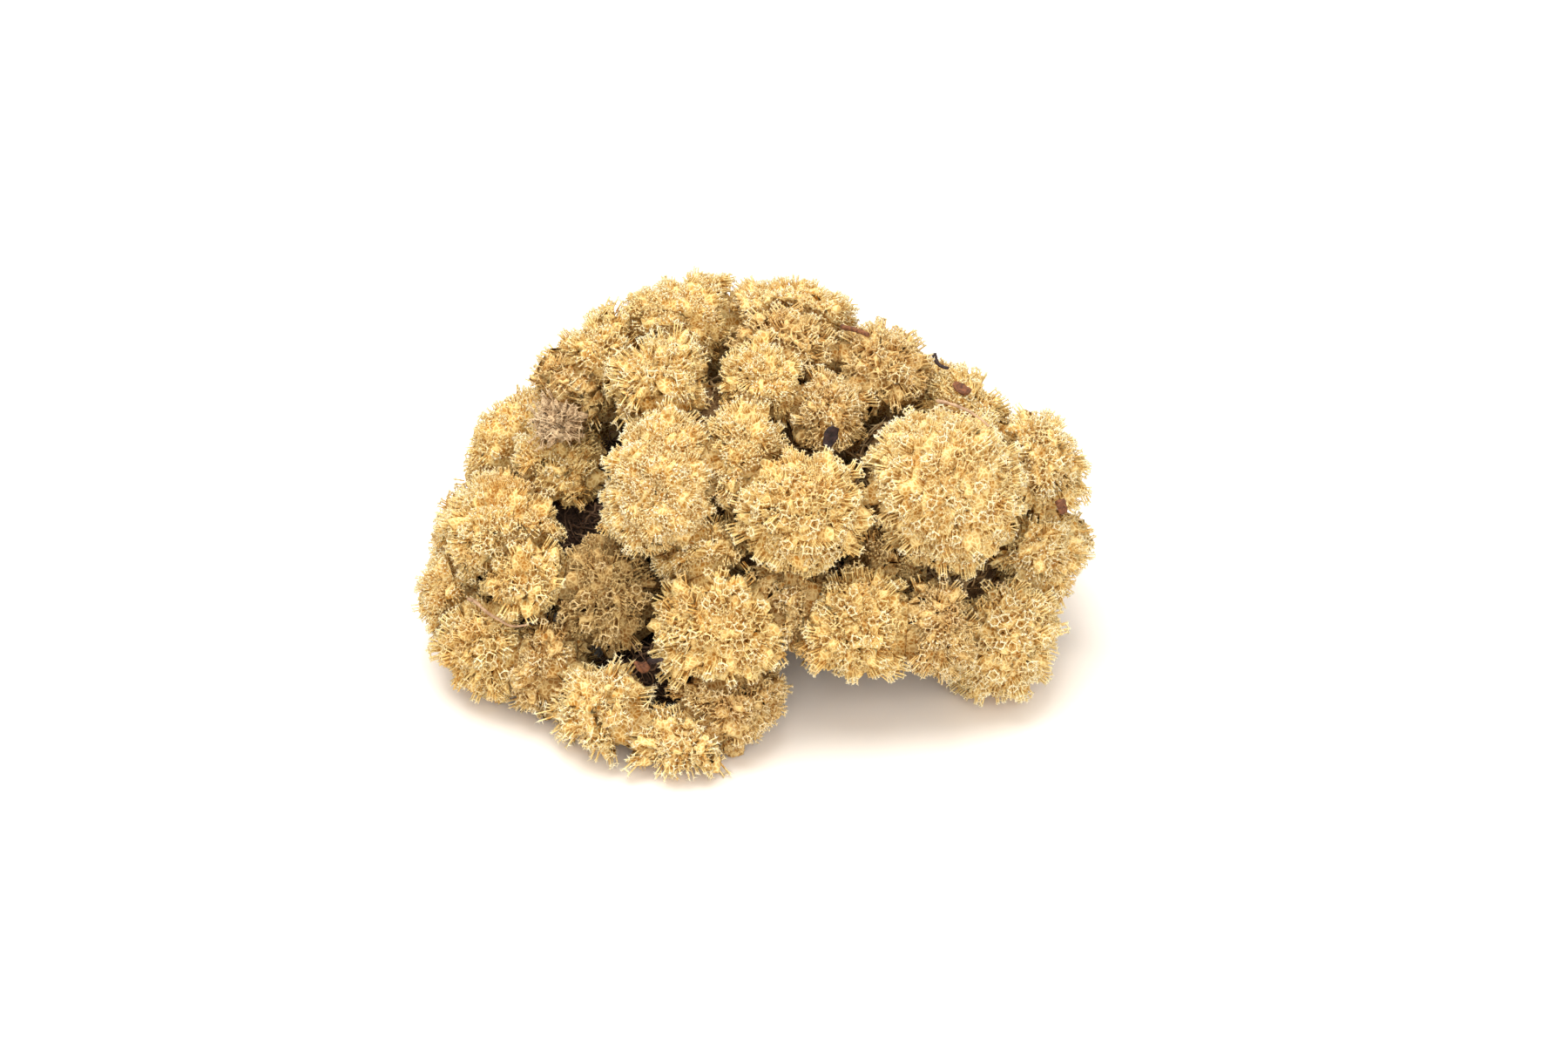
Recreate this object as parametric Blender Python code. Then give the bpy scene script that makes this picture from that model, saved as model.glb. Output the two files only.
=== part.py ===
"""A clump of dried reindeer lichen: branching heads packed on a mat of dead stalks.

Every head is a cushion. Its outline is an ellipsoid with soft lobes, and where two heads press
on each other both are flattened against one shared plane, with a hair of air between them.
The mat of dead stalks fills the middle of the clump, and bits of twig and bark are caught on it.
Run it with: blender --background --python part.py
"""

import math
import random
from dataclasses import dataclass

import bmesh
import bpy
from mathutils import Matrix, Vector

MM = 0.001

# The clump, in millimetres. X runs to the right, Y away from the front, Z up.
PRESS_GAP = 0.36          # air between two pieces that press on each other
LAID_GAP = 0.55           # air under a twig or flake that lies on the heads
CLUMP_MIDDLE = Vector((2, 6, 33))
SWELL = 1.09              # how far each head swells, so that it presses on its neighbours
LOBE_DEPTH = 0.11         # how far a lobe stands out, as a share of the head's radius
LOBE_TIGHTNESS = 9.0      # higher makes narrower lobes
LOBES_PER_HEAD = 7
SMALL_HEAD = 9.5          # heads under this radius get a coarser skin
LEAST_SHARE = 0.24        # the nearest that a pressed plane comes to a head's centre
LIFTED = 6.5              # how far the mat's underside stays above the ground
STICK_SIDES = 7
LAYING_ROUNDS = 12        # how often a laid piece is pushed clear of the heads
LAID_STEP = 1.6           # between two points along a laid stick
FLAKE_TAPER = 0.45        # how much narrower a flake is at its ends
EDGE_ON = 1e-6            # the least that a way must face a plane to meet it
NEARLY_LEVEL = 0.1        # the least length of a level direction that can be trusted


@dataclass(frozen=True)
class Cushion:
    """One rounded body: half sizes across, up the face and outwards, in millimetres."""

    name: str
    centre: tuple
    size: tuple
    roll: float = 0.0     # degrees, turning the long side about the outward axis
    lobed: bool = True
    finish: str = "pale_lichen"
    ground: float = 0.0   # the height of the plane that it can't go below
    fine: bool = False


@dataclass(frozen=True)
class Stick:
    """A twig or stalk: a round stem that tapers along a bent line of points."""

    name: str
    route: tuple
    radius: float
    finish: str
    tip: float = 0.5      # the far end's radius, as a share of the near end's


@dataclass(frozen=True)
class Flake:
    """A curled scale of bark, laid on the heads at a point."""

    name: str
    centre: tuple
    size: tuple           # length, width and thickness
    turn: float           # degrees, about the direction that it faces
    finish: str
    curl: float = 0.8     # how far its two ends rise, in millimetres


HEADS = [
    # The crown: the high ridge along the back.
    Cushion("crown_head_1", (-19, 37, 74.5), (20, 13, 12)),
    Cushion("crown_head_2", (9, 37, 73.5), (19, 13, 12)),
    Cushion("crown_head_3", (-38, 26, 69.5), (18, 12, 12), roll=-28),
    Cushion("crown_head_4", (8, 23, 74), (15, 11, 11)),
    # The brow: the heads that slope from the crown down to the face.
    Cushion("brow_head_1", (-47, 15, 67.5), (12, 8, 11)),
    Cushion("brow_head_2", (-23, 10, 72.5), (16, 13, 12)),
    Cushion("brow_head_3", (2, 10, 72), (11, 11, 11)),
    Cushion("brow_head_4", (18, 6, 67), (12, 10.5, 10.5)),
    Cushion("brow_head_5", (31, 21, 70.5), (15, 12, 12)),
    Cushion("brow_head_6", (53, 15, 60), (16, 11, 10.5), roll=12),
    # The middle: the large round heads of the face.
    Cushion("middle_head_1", (-21.5, -13, 59), (13, 20, 15), roll=30, fine=True),
    Cushion("middle_head_2", (-4, -8, 60), (11, 16, 14), fine=True),
    Cushion("middle_head_3", (12, -21, 55.5), (16, 15, 16), fine=True),
    Cushion("middle_head_4", (47, -11, 55), (18.5, 21.5, 18), fine=True),
    Cushion("middle_head_5", (33, -12, 39), (10, 13, 13)),
    Cushion("middle_head_6", (-13, -15, 43.5), (14, 13, 13)),
    # The right side.
    Cushion("right_head_1", (71, 5, 52), (14, 14, 12), roll=-14),
    Cushion("right_head_2", (70, -3, 31), (13, 15, 13)),
    Cushion("right_head_3", (62, -20, 15.5), (16, 18, 15), fine=True),
    Cushion("right_head_4", (78, 7, 26), (7.5, 9, 8)),
    # The left side.
    Cushion("left_head_1", (-49, 10, 48), (15.5, 10, 12)),
    Cushion("left_head_2", (-63, -5, 38.5), (23, 12, 16), roll=10, fine=True),
    Cushion("left_head_3", (-57, -18, 34), (14, 10, 12)),
    Cushion("left_head_4", (-75, -8, 21), (10, 13, 11)),
    Cushion("left_head_5", (-66, -22, 15), (13, 14, 13)),
    Cushion("left_head_6", (-36.5, -19, 28), (14, 17, 14)),
    Cushion("left_head_7", (-50, -27, 14), (12, 13, 13)),
    # The foot: the lowest heads, nearest the front.
    Cushion("foot_head_1", (-38, -42, 11.5), (16, 12, 13), roll=14),
    Cushion("foot_head_2", (-20, -51, 7.5), (15, 8, 10)),
    Cushion("foot_head_3", (-6, -38, 11.5), (14, 13, 14)),
    # The low row under the large heads, hung clear of the ground.
    Cushion("low_head_1", (-8, -32, 28), (17.5, 15, 15), fine=True),
    Cushion("low_head_2", (25, -30, 28), (16, 14, 15), fine=True),
    Cushion("low_head_3", (43, -31, 27.5), (10, 13, 12.5)),
    Cushion("low_head_4", (9, -24.5, 33), (14, 11, 13)),
    # The back.
    Cushion("back_head_1", (-60, 31, 38), (18, 17, 14)),
    Cushion("back_head_2", (-36, 45, 46), (18, 18, 14)),
    Cushion("back_head_3", (-10, 50, 50), (17, 18, 13)),
    Cushion("back_head_4", (17, 49, 47), (17, 18, 14)),
    Cushion("back_head_5", (43, 38, 45), (17, 18, 15)),
    Cushion("back_head_6", (65, 25, 34), (14, 16, 14)),
    Cushion("back_head_7", (-46, 41, 14), (19, 18, 15)),
    Cushion("back_head_8", (-12, 49, 16), (20, 20, 15)),
    Cushion("back_head_9", (24, 47, 15), (19, 19, 15)),
    Cushion("back_head_10", (54, 32, 12.5), (16, 16, 15)),
    Cushion("back_head_11", (-71, 16, 18), (15, 16, 13)),
]

# Old stalks: the tangle in the middle, and the grey tuft that shows at the left under the brow.
STALKS = [
    Cushion("stalk_mat_left", (-42, 15, 27), (28, 24, 27), lobed=False, finish="dead_stalks",
            ground=LIFTED),
    Cushion("stalk_mat_middle", (-2, 10, 36), (34, 34, 44), lobed=False, finish="dead_stalks",
            ground=LIFTED),
    Cushion("stalk_mat_right", (42, 8, 32), (30, 29, 34), lobed=False, finish="dead_stalks",
            ground=LIFTED),
    Cushion("stalk_mat_foot", (-27, -24, 14), (15, 13, 11), lobed=False, finish="dead_stalks",
            ground=1.0),
    Cushion("dead_tuft", (-49, 9.5, 64.5), (13, 6.5, 6.5), finish="dead_stalks"),
]

# What the clump has picked up from the ground, laid where it was caught.
STICKS = [
    Stick("foot_twig", ((-25, -38, 23), (-21, -43, 28)), 0.9, "dark_twig"),
    Stick("bark_strip", ((22, 23, 81), (29, 17, 81)), 0.7, "rust_bark", tip=0.8),
    Stick("ridge_twig", ((43, 20, 75), (49, 17, 72)), 0.7, "dark_twig"),
    Stick("top_stalk", ((45, -6, 76), (50, -9, 76), (56, -13, 73)), 0.5, "pale_stalk"),
    Stick("side_stalk", ((-70, -22, 27), (-63, -26, 28), (-56, -29, 31)), 0.5, "pale_stalk"),
]
FLAKES = [
    Flake("foot_flake", (-28, -41, 23), (5.0, 3.2, 0.7), 40, "rust_bark"),
    Flake("brow_flake", (52, 10.5, 70), (4.6, 2.6, 0.6), 65, "rust_bark"),
    Flake("cavity_flake", (19, -7, 69), (6.0, 3.4, 0.7), -25, "dark_twig"),
    Flake("right_flake", (76, -8.5, 50), (5.0, 2.8, 0.6), 15, "rust_bark"),
]

# Colours are linear, then roughness.
FINISHES = {
    "pale_lichen": ((0.83, 0.66, 0.36), 0.9),
    "dead_stalks": ((0.16, 0.10, 0.055), 0.95),
    "dark_twig": ((0.07, 0.035, 0.03), 0.8),
    "rust_bark": ((0.42, 0.16, 0.06), 0.85),
    "pale_stalk": ((0.66, 0.45, 0.26), 0.85),
}


def clear_scene():
    """Removes whatever the scene holds."""
    for thing in list(bpy.data.objects):
        bpy.data.objects.remove(thing)


def material(finish):
    """The Principled material for a finish, made once."""
    made = bpy.data.materials.get(finish)
    if made:
        return made
    colour, roughness = FINISHES[finish]
    made = bpy.data.materials.new(finish)
    made.use_nodes = True
    shader = made.node_tree.nodes["Principled BSDF"]
    shader.inputs["Base Color"].default_value = (*colour, 1.0)
    shader.inputs["Roughness"].default_value = roughness
    shader.inputs["Metallic"].default_value = 0.0
    return made


def axes_facing(out, roll=0.0, prefer_right=True):
    """Unit vectors across a thing, up its face and the way that it faces."""
    out = out.normalized()
    across = out.cross(Vector((0, 0, 1)))
    if across.length < NEARLY_LEVEL:
        across = Vector((1, 0, 0))
    across.normalize()
    if across.x < 0 and prefer_right:
        across = -across
    across = Matrix.Rotation(math.radians(roll), 3, out) @ across
    return across, out.cross(across), out


def outward_axes(cushion):
    """The axes of a cushion that faces away from the middle of the clump."""
    out = Vector(cushion.centre) - CLUMP_MIDDLE
    return axes_facing(out, cushion.roll, cushion.centre[1] < CLUMP_MIDDLE.y)


class Body:
    """A cushion with its axes, its lobes and the planes that neighbours press on it."""

    def __init__(self, cushion, seed):
        self.cushion = cushion
        self.centre = Vector(cushion.centre)
        self.upright = not cushion.lobed
        self.axes = tuple(Matrix.Identity(3)) if self.upright else outward_axes(cushion)
        self.size = [half * (1 if self.upright else SWELL) for half in cushion.size]
        self.largest = max(self.size) * (1 + LOBE_DEPTH)
        self.planes = []
        pick = random.Random(seed)
        self.lobes = []
        for _ in range(LOBES_PER_HEAD if cushion.lobed else 0):
            way = Vector([pick.gauss(0, 1) for _ in range(3)]).normalized()
            self.lobes.append((way, pick.uniform(0.4, 1.0) * LOBE_DEPTH))

    def plain_reach(self, way):
        """The distance from the centre to the ellipsoid along a unit vector."""
        parts = [way.dot(axis) / half for axis, half in zip(self.axes, self.size)]
        return 1 / math.sqrt(sum(part * part for part in parts))

    def reach(self, way):
        """The distance to the finished skin along a unit vector, lobes and pressed planes counted."""
        swell = sum(depth * math.exp(LOBE_TIGHTNESS * (way.dot(lobe) - 1)) for lobe, depth in self.lobes)
        found = self.plain_reach(way) * (1 + swell - LOBE_DEPTH * 0.25 * bool(self.lobes))
        for normal, distance in self.planes:
            facing = way.dot(normal)
            if facing > EDGE_ON:
                found = min(found, distance / facing)
        return found

    def press_on(self, normal, distance):
        """Keeps the skin within a distance from the centre, measured along the normal."""
        self.planes.append((normal, distance))

    def pushed_clear(self, point, clearance):
        """A point moved straight out from the centre until it clears the skin."""
        line = point - self.centre
        if line.length > self.largest + clearance:
            return point
        way = line.normalized()
        return self.centre + way * max(line.length, self.reach(way) + clearance)


def press_together(bodies):
    """Flattens each pair that would overlap against the plane between them."""
    for i, one in enumerate(bodies):
        for other in bodies[i + 1:]:
            line = other.centre - one.centre
            apart = line.length
            if apart > one.largest + other.largest + PRESS_GAP:
                continue
            line.normalize()
            near, far = one.plain_reach(line), other.plain_reach(-line)
            split = (apart * apart + near * near - far * far) / (2 * apart)
            split = min(max(split, LEAST_SHARE * apart), (1 - LEAST_SHARE) * apart)
            one.press_on(line, split - PRESS_GAP / 2)
            other.press_on(-line, apart - split - PRESS_GAP / 2)


def finished_mesh(name, work):
    """The mesh that a bmesh holds, about its object's own origin and in metres."""
    bmesh.ops.scale(work, vec=(MM, MM, MM), verts=work.verts)
    mesh = bpy.data.meshes.new(name)
    work.to_mesh(mesh)
    work.free()
    return mesh


def skin(body):
    """The closed mesh of a body: a cube's grid of points, each pushed out to the body's reach."""
    work = bmesh.new()
    bmesh.ops.create_cube(work, size=2.0)
    small = max(body.cushion.size) < SMALL_HEAD
    cuts = 2 if small else 4 if body.cushion.fine else 3
    bmesh.ops.subdivide_edges(work, edges=work.edges[:], cuts=cuts, use_grid_fill=True)
    frame = Matrix(body.axes).transposed()
    for vert in work.verts:
        even = Vector([math.tan(value * math.pi / 4) for value in vert.co])
        way = (frame @ even).normalized()
        vert.co = way * body.reach(way)
    return finished_mesh(body.cushion.name, work)


def clear_of_all(point, clearance, bodies):
    """A point moved outwards until it clears every body, also where it lies between two."""
    for _ in range(LAYING_ROUNDS):
        for body in bodies:
            point = body.pushed_clear(point, clearance)
    return point


def laid_line(route, clearance, bodies):
    """Points along a bent line, close together, each clear of the bodies under it."""
    corners = [Vector(point) for point in route]
    line = []
    for start, end in zip(corners, corners[1:]):
        count = max(1, round((end - start).length / LAID_STEP))
        line += [start.lerp(end, i / count) for i in range(count)]
    line.append(corners[-1])
    line = [clear_of_all(point, clearance, bodies) for point in line]
    eased = [(a + b * 2 + c) / 4 for a, b, c in zip(line, line[1:], line[2:])]
    return [clear_of_all(point, clearance, bodies) for point in (line[0], *eased, line[-1])]


def stick_mesh(stick, bodies):
    """A tapered stem with flat ends, along its laid line."""
    line = laid_line(stick.route, stick.radius + LAID_GAP, bodies)
    origin = line[0].copy()
    work = bmesh.new()
    rings = []
    side = Vector((0, 0, 1))
    for i, point in enumerate(line):
        way = (line[min(i + 1, len(line) - 1)] - line[max(i - 1, 0)]).normalized()
        side = (side - way * side.dot(way)).normalized()
        radius = stick.radius * (1 + (stick.tip - 1) * i / (len(line) - 1))
        turns = [Matrix.Rotation(-math.tau * j / STICK_SIDES, 3, way) for j in range(STICK_SIDES)]
        rings.append([work.verts.new(point - origin + turn @ side * radius) for turn in turns])
    for lower, upper in zip(rings, rings[1:]):
        for j in range(STICK_SIDES):
            k = (j + 1) % STICK_SIDES
            work.faces.new((lower[j], upper[j], upper[k], lower[k]))
    work.faces.new(rings[0])
    work.faces.new(rings[-1][::-1])
    return finished_mesh(stick.name, work), origin


def flake_mesh(flake, bodies, across=3, along=5):
    """A thin curled slab that follows the heads under it."""
    length, width, thickness = flake.size
    origin = clear_of_all(Vector(flake.centre), LAID_GAP, bodies)
    nearest = min(bodies, key=lambda body: (body.centre - origin).length - body.reach(
        (origin - body.centre).normalized()))
    side, up, out = axes_facing(origin - nearest.centre, flake.turn)
    work = bmesh.new()
    sheets = [[], []]
    for i in range(along):
        u = i / (along - 1) * 2 - 1
        for j in range(across):
            v = j / (across - 1) * 2 - 1
            narrowed = width / 2 * v * (1 - FLAKE_TAPER * u * u)
            point = origin + up * (length / 2 * u) + side * narrowed + out * (flake.curl * u * u)
            under = clear_of_all(point, LAID_GAP, bodies) - origin
            sheets[0].append(work.verts.new(under))
            sheets[1].append(work.verts.new(under + out * thickness))
    lower, upper = sheets
    for i in range(along - 1):
        for j in range(across - 1):
            a, b = i * across + j, (i + 1) * across + j
            work.faces.new((upper[a], upper[a + 1], upper[b + 1], upper[b]))
            work.faces.new((lower[a], lower[b], lower[b + 1], lower[a + 1]))
    rim = [j for j in range(across)]
    rim += [(i + 1) * across - 1 for i in range(1, along)]
    rim += [along * across - 1 - j for j in range(1, across)]
    rim += [i * across for i in range(along - 2, 0, -1)]
    for a, b in zip(rim, rim[1:] + rim[:1]):
        work.faces.new((upper[a], lower[a], lower[b], upper[b]))
    return finished_mesh(flake.name, work), origin


def add_node(name, mesh, origin, finish, parent):
    """One named object that wears one finish, placed under the clump's empty."""
    thing = bpy.data.objects.new(name, mesh)
    mesh.materials.append(material(finish))
    mesh.shade_smooth()
    thing.location = origin * MM
    thing.parent = parent
    bpy.context.scene.collection.objects.link(thing)
    return thing


def build_pieces(clump):
    """The heads and old stalks, pressed together and set on the ground, and what lies on them."""
    bodies = [Body(cushion, seed) for seed, cushion in enumerate(HEADS + STALKS)]
    press_together(bodies)
    pieces = []
    for body in bodies:
        body.press_on(Vector((0, 0, -1)), body.centre.z - body.cushion.ground)
        cushion = body.cushion
        pieces.append(add_node(cushion.name, skin(body), body.centre, cushion.finish, clump))
    for stick in STICKS:
        pieces.append(add_node(stick.name, *stick_mesh(stick, bodies), stick.finish, clump))
    for flake in FLAKES:
        pieces.append(add_node(flake.name, *flake_mesh(flake, bodies), flake.finish, clump))
    return pieces


def stand_on_origin(clump, pieces):
    """Moves the clump so that the middle of its box's underside is at the origin."""
    corners = [piece.location + vert.co for piece in pieces for vert in piece.data.vertices]
    low = Vector([min(corner[k] for corner in corners) for k in range(3)])
    high = Vector([max(corner[k] for corner in corners) for k in range(3)])
    clump.location = (-(low.x + high.x) / 2, -(low.y + high.y) / 2, -low.z)


def main():
    """Builds the clump."""
    clear_scene()
    clump = bpy.data.objects.new("clump", None)
    bpy.context.scene.collection.objects.link(clump)
    stand_on_origin(clump, build_pieces(clump))


main()
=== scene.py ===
"""The looks of a clump of dried reindeer lichen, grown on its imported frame.

Each lichen head is a small thicket. Its core is the solid's skin, drawn in and pitted. On the core
stand low domes of whorls: rings of stems round an open axil, with a star of pointed arms on every
stem. The heads press on each other and on tangles of dead stalks, and bits of twig and bark lie on
them. Lengths are in millimetres until a mesh is written, which is in metres.
"""

import logging
import math
from dataclasses import dataclass, field
from enum import Enum

import bmesh
import bpy
import numpy as np
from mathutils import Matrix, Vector, noise
from mathutils.bvhtree import BVHTree
from mathutils.kdtree import KDTree


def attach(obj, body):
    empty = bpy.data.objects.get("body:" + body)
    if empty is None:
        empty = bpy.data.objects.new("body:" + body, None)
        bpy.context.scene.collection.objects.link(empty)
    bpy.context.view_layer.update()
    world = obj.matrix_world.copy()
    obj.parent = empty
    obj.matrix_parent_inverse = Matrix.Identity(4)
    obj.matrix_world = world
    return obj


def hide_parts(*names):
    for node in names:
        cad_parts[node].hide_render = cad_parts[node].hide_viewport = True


LOG = logging.getLogger("clump")
MM = 0.001
SIDES = 3                    # sides of a branch's tube
BODY = "root"
SKY_RAYS = 12                # rays that test how much of the sky a place sees
TRIES = 9                    # points tried for each square of the spacing when they are scattered
FAR = 14.0                   # a gap this wide is open
PRESSED = 0.45               # a gap this narrow is pressed shut
CREASE_FILL = 6.0            # how far from a neighbour a head starts to swell towards it
GROUND = 0.02                # nothing hangs lower than this
ROUNDING = 0.7               # how far a cut triangle bulges out between its corners
OUTWARD = 0.4                # how far a place on the skin faces away from the solid's middle
DEEPEST = 5.5                # the most that a core is drawn in from its skin
DEEPEST_SHARE = 0.55         # and the most of the way to the middle
OPENING = 0.45               # how far the arms of a whorl's stars turn away from its axil
WALL_SHARE = 0.85            # the share of a walled whorl's stems that a wall joins to the next
UNSEEN_SHARE = 0.62          # the share of whorls kept where the front view doesn't reach
UNSEEN_SIZE = 1.15           # and how much larger those are
FRONT = Vector((8.0, -677.8, 511.2))    # where the front view is taken from
SIGHT = 200.0                # how far towards the front something can stand in the way
CLEARANCE = 0.02             # air left at the middle of a gap between two heads
OPEN_ROOM = 9.0              # the most that growth may stand out where nothing is near
CHART_SPREAD = 0.004         # keeps a branch's sides apart on the chart, so that none is empty
Colour = tuple[float, float, float]

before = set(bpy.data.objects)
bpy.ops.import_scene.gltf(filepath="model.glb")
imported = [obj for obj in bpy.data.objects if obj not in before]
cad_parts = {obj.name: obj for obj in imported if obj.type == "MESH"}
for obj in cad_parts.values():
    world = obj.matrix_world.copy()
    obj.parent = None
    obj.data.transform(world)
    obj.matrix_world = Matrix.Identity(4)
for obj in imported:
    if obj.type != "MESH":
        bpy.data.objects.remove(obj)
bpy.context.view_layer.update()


def unit(ways: np.ndarray) -> np.ndarray:
    """Vectors of length one, along the last axis."""
    return ways / np.maximum(np.linalg.norm(ways, axis=-1, keepdims=True), 1e-9)


def crosswise(ways: np.ndarray) -> tuple[np.ndarray, np.ndarray]:
    """Two unit vectors square to each way.

    Args:
        ways: unit vectors, on the last axis.

    Returns:
        The two sets of vectors, which make a right-handed set with the ways.
    """
    helper = np.where(np.abs(ways[..., 2:3]) < 0.8, [0.0, 0.0, 1.0], [1.0, 0.0, 0.0])
    first = unit(np.cross(helper, ways))
    return first, np.cross(ways, first)


class Strands:
    """Many thin tapered branches that become one mesh."""

    def __init__(self) -> None:
        """Starts with no branches."""
        self.points: list[np.ndarray] = []
        self.faces: list[np.ndarray] = []
        self.depths: list[np.ndarray] = []
        self.tints: list[np.ndarray] = []
        self.count = 0

    def add(self, line: np.ndarray, radius: np.ndarray, depth: np.ndarray, tint: np.ndarray,
            pointed: bool, turn: float = 0.0) -> None:
        """Adds branches that have the same number of points.

        Args:
            line: points of each branch, shape (branches, points, 3).
            radius: the radius at each point, (branches, points).
            depth: 0 in the core to 1 at a tip, at each point. It picks the colour, and the lichen heads
                also darken it as painted shade.
            tint: one shade for each branch.
            pointed: whether each branch ends in a point or in a flat cap.
            turn: how far the three sides are turned, in radians.
        """
        many, steps = line.shape[:2]
        if not many:
            return
        along = np.empty_like(line)
        along[:, 1:-1] = line[:, 2:] - line[:, :-2]
        along[:, 0] = line[:, 1] - line[:, 0]
        along[:, -1] = line[:, -1] - line[:, -2]
        along = unit(along)
        start, _ = crosswise(along[:, 0])
        first = unit(start[:, None] - along * (along * start[:, None]).sum(-1, keepdims=True))
        second = np.cross(along, first)
        rings = steps - 1 if pointed else steps
        angle = turn + math.tau * np.arange(SIDES) / SIDES
        spread = (np.cos(angle)[:, None] * first[:, :rings, None] +
                  np.sin(angle)[:, None] * second[:, :rings, None])
        skin = line[:, :rings, None] + spread * radius[:, :rings, None, None]
        skin = skin.reshape(many, rings * SIDES, 3)
        shade = np.repeat(depth[:, :rings], SIDES, axis=1)
        if pointed:
            skin = np.concatenate([skin, line[:, -1:]], axis=1)
            shade = np.concatenate([shade, depth[:, -1:]], axis=1)
        pattern = self.pattern(rings, pointed)
        each = skin.shape[1]
        offset = self.count + each * np.arange(many)
        self.faces.append((pattern[None] + offset[:, None, None]).reshape(-1, 3))
        self.points.append(skin.reshape(-1, 3))
        self.depths.append(shade.reshape(-1))
        self.tints.append(np.repeat(tint, each))
        self.count += many * each

    @staticmethod
    def pattern(rings: int, pointed: bool) -> np.ndarray:
        """The triangles of one branch.

        Args:
            rings: how many rings of points it has.
            pointed: whether a single point closes its end.

        Returns:
            Point numbers, shape (triangles, 3), facing out.
        """
        faces = []
        for ring in range(rings - 1):
            for side in range(SIDES):
                a, b = ring * SIDES + side, ring * SIDES + (side + 1) % SIDES
                faces += [(a, b, b + SIDES), (a, b + SIDES, a + SIDES)]
        last = (rings - 1) * SIDES
        if pointed:
            faces += [(last + side, last + (side + 1) % SIDES, last + SIDES) for side in range(SIDES)]
        else:
            faces.append((last, last + 1, last + 2))
        return np.array(faces)

    def add_solid(self, points: np.ndarray, faces: np.ndarray, depth: np.ndarray, tint: np.ndarray) -> None:
        """Adds a closed body of triangles.

        Args:
            points: its points, (points, 3).
            faces: its triangles, (triangles, 3).
            depth: how deep each point counts for colour; for a lichen core it also holds painted shade.
            tint: the shade of each point.
        """
        self.faces.append(faces + self.count)
        self.points.append(points)
        self.depths.append(depth)
        self.tints.append(tint)
        self.count += len(points)

    def mesh(self, name: str) -> bpy.types.Mesh:
        """The branches as one mesh, in metres, with its depths, which hold the painted shade, and its tints
        stored on it.

        Args:
            name: the mesh's name.

        Returns:
            The mesh.
        """
        points = np.concatenate(self.points) * MM
        points[:, 2] = np.maximum(points[:, 2], GROUND * MM)
        faces = np.concatenate(self.faces)
        depth = np.clip(np.concatenate(self.depths), 0, 1)
        tint = np.clip(np.concatenate(self.tints), 0, 1)
        made = bpy.data.meshes.new(name)
        made.vertices.add(len(points))
        made.vertices.foreach_set("co", points.astype(np.float32).ravel())
        made.loops.add(faces.size)
        made.loops.foreach_set("vertex_index", faces.astype(np.int32).ravel())
        made.polygons.add(len(faces))
        made.polygons.foreach_set("loop_start", np.arange(0, faces.size, 3, dtype=np.int32))
        made.update(calc_edges=True)
        made.validate()
        made.shade_smooth()
        for title, values in (("depth", depth), ("tint", tint)):
            store = made.attributes.new(title, "FLOAT", "POINT")
            store.data.foreach_set("value", values.astype(np.float32))
        wide = tint + (np.arange(len(tint)) % SIDES - 1) * CHART_SPREAD
        chart = np.stack([depth, np.clip(wide, 0, 1)], axis=-1)[faces.ravel()]
        made.uv_layers.new(name="OFBake").data.foreach_set("uv", chart.astype(np.float32).ravel())
        return made


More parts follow.
